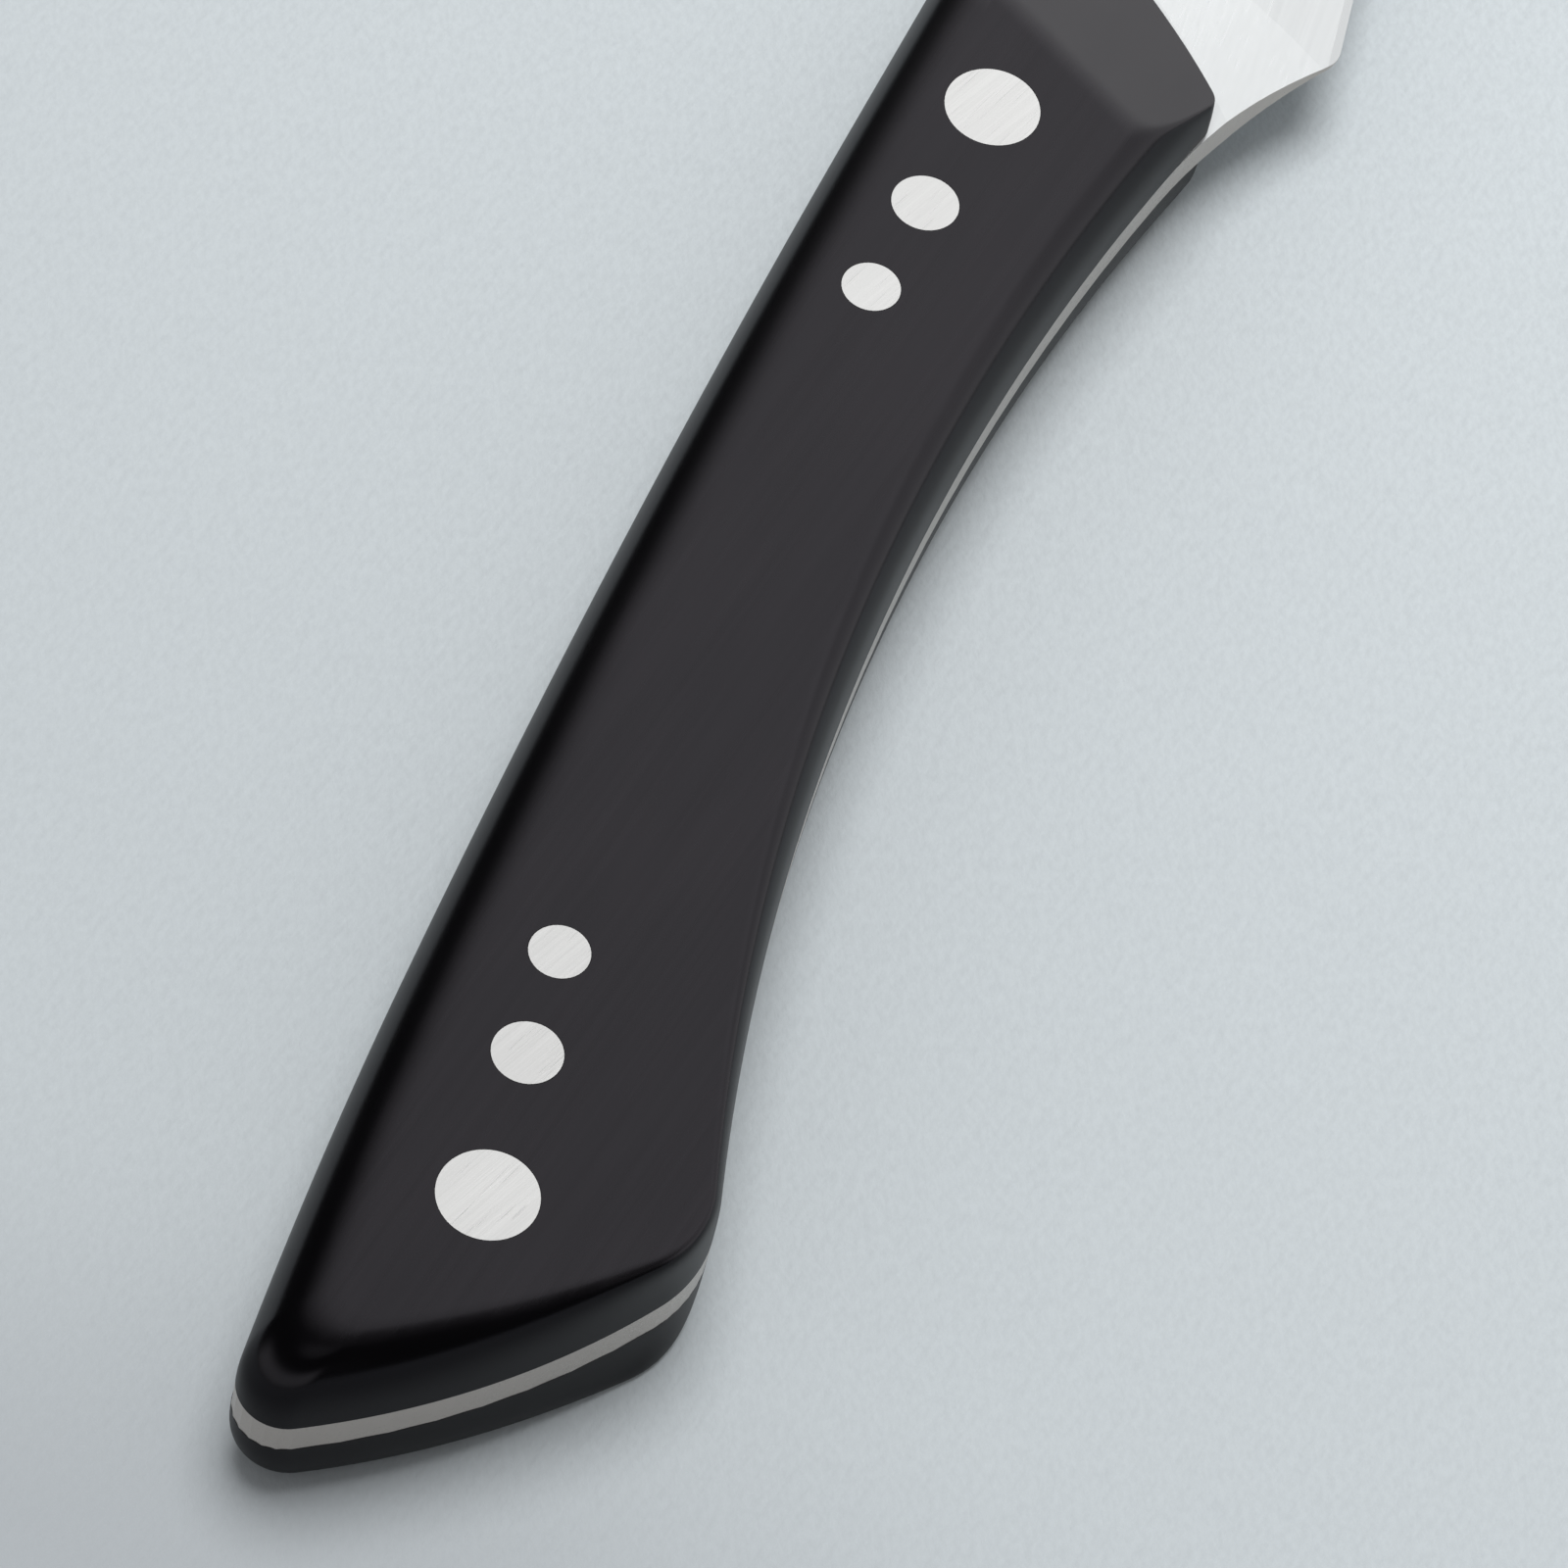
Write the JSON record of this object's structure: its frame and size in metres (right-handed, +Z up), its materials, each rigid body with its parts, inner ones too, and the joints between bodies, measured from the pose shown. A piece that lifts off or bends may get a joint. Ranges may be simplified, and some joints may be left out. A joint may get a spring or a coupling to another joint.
{
  "type": "steak knife",
  "caption": "Steak knife with a pointed plain-edged blade, full tang, black scales with rolled edges and round flush rivets.",
  "frame": {"origin": "middle of the knife's bounding box, on the surface it lies on", "axes": "+X from the butt to the tip, +Y towards the spine, +Z up through the thickness of the handle"},
  "size_m": [0.24, 0.03, 0.0136],
  "materials": {
    "blade_steel": "fine satin, ground lengthwise",
    "handle_black": "satin black with fine lengthwise sanding lines",
    "rivet_steel": "bright, with fine diagonal brush lines"
  },
  "bodies": {
    "root": {"blade": "blade_steel", "upper_scale": "handle_black", "lower_scale": "handle_black", "rear_large_rivet_pin": "rivet_steel", "rear_large_rivet_tube": "rivet_steel", "rear_medium_rivet_pin": "rivet_steel", "rear_medium_rivet_tube": "rivet_steel", "rear_small_rivet_pin": "rivet_steel", "rear_small_rivet_tube": "rivet_steel", "front_small_rivet_pin": "rivet_steel", "front_small_rivet_tube": "rivet_steel", "front_medium_rivet_pin": "rivet_steel", "front_medium_rivet_tube": "rivet_steel", "front_large_rivet_pin": "rivet_steel", "front_large_rivet_tube": "rivet_steel"}
  },
  "joints": []
}
